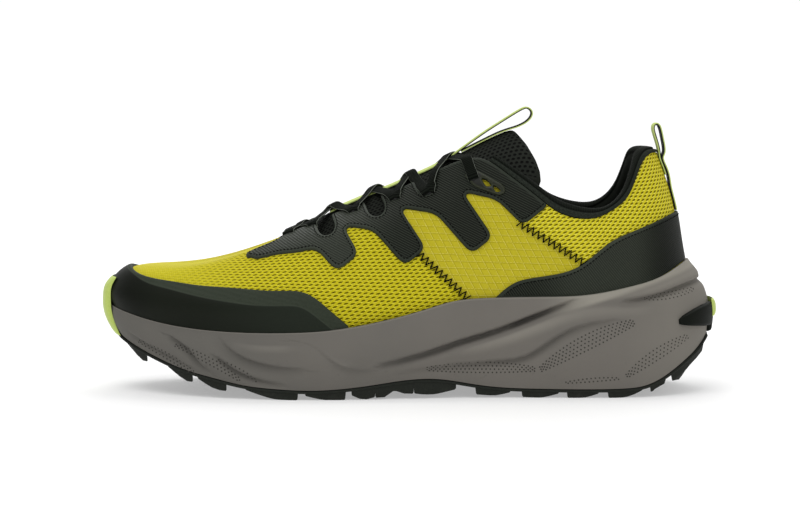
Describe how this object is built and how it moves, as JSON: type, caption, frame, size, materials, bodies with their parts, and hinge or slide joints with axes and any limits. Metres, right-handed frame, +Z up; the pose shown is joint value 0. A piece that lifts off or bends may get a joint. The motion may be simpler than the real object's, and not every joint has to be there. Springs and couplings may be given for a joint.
{
  "type": "trail shoe",
  "caption": "Low trail running shoe for the left foot: mesh upper on a thick foam sole with a lugged rubber tread, laced throat, padded collar and pull loops.",
  "frame": {"origin": "centre of the bounding box at floor level, where the tread stands", "axes": "+X towards the heel, -X towards the toe, -Y towards the outer side of the left foot, +Z up"},
  "size_m": [0.3026, 0.1062, 0.1384],
  "materials": {
    "upper_mesh": "open knit mesh, matt",
    "midsole_foam": "moulded foam, matt",
    "black_rubber": "moulded rubber, matt",
    "black_textile": "padded knit, matt",
    "black_overlay": "welded film with fine ribs, satin",
    "eyelet_plastic": "moulded, semi-gloss",
    "lace_textile": "woven, matt",
    "lime_tape": "woven tape, matt",
    "lime_rubber": "moulded rubber, satin"
  },
  "bodies": {
    "root": {"upper": "upper_mesh", "midsole": "midsole_foam", "outsole": "black_rubber", "insole": "black_textile", "tongue": "black_textile", "collar_cuff": "black_textile", "toe_cap": "black_overlay", "heel_counter": "black_overlay", "eyestay_lateral": "black_overlay", "eyestay_medial": "black_overlay", "top_eyelet_lateral": "eyelet_plastic", "top_eyelet_medial": "eyelet_plastic", "lace": "lace_textile", "tongue_pull_loop": "lime_tape", "heel_pull_loop": "lime_tape", "toe_bumper": "lime_rubber", "heel_clip": "black_rubber", "heel_pad": "lime_rubber"}
  },
  "joints": []
}
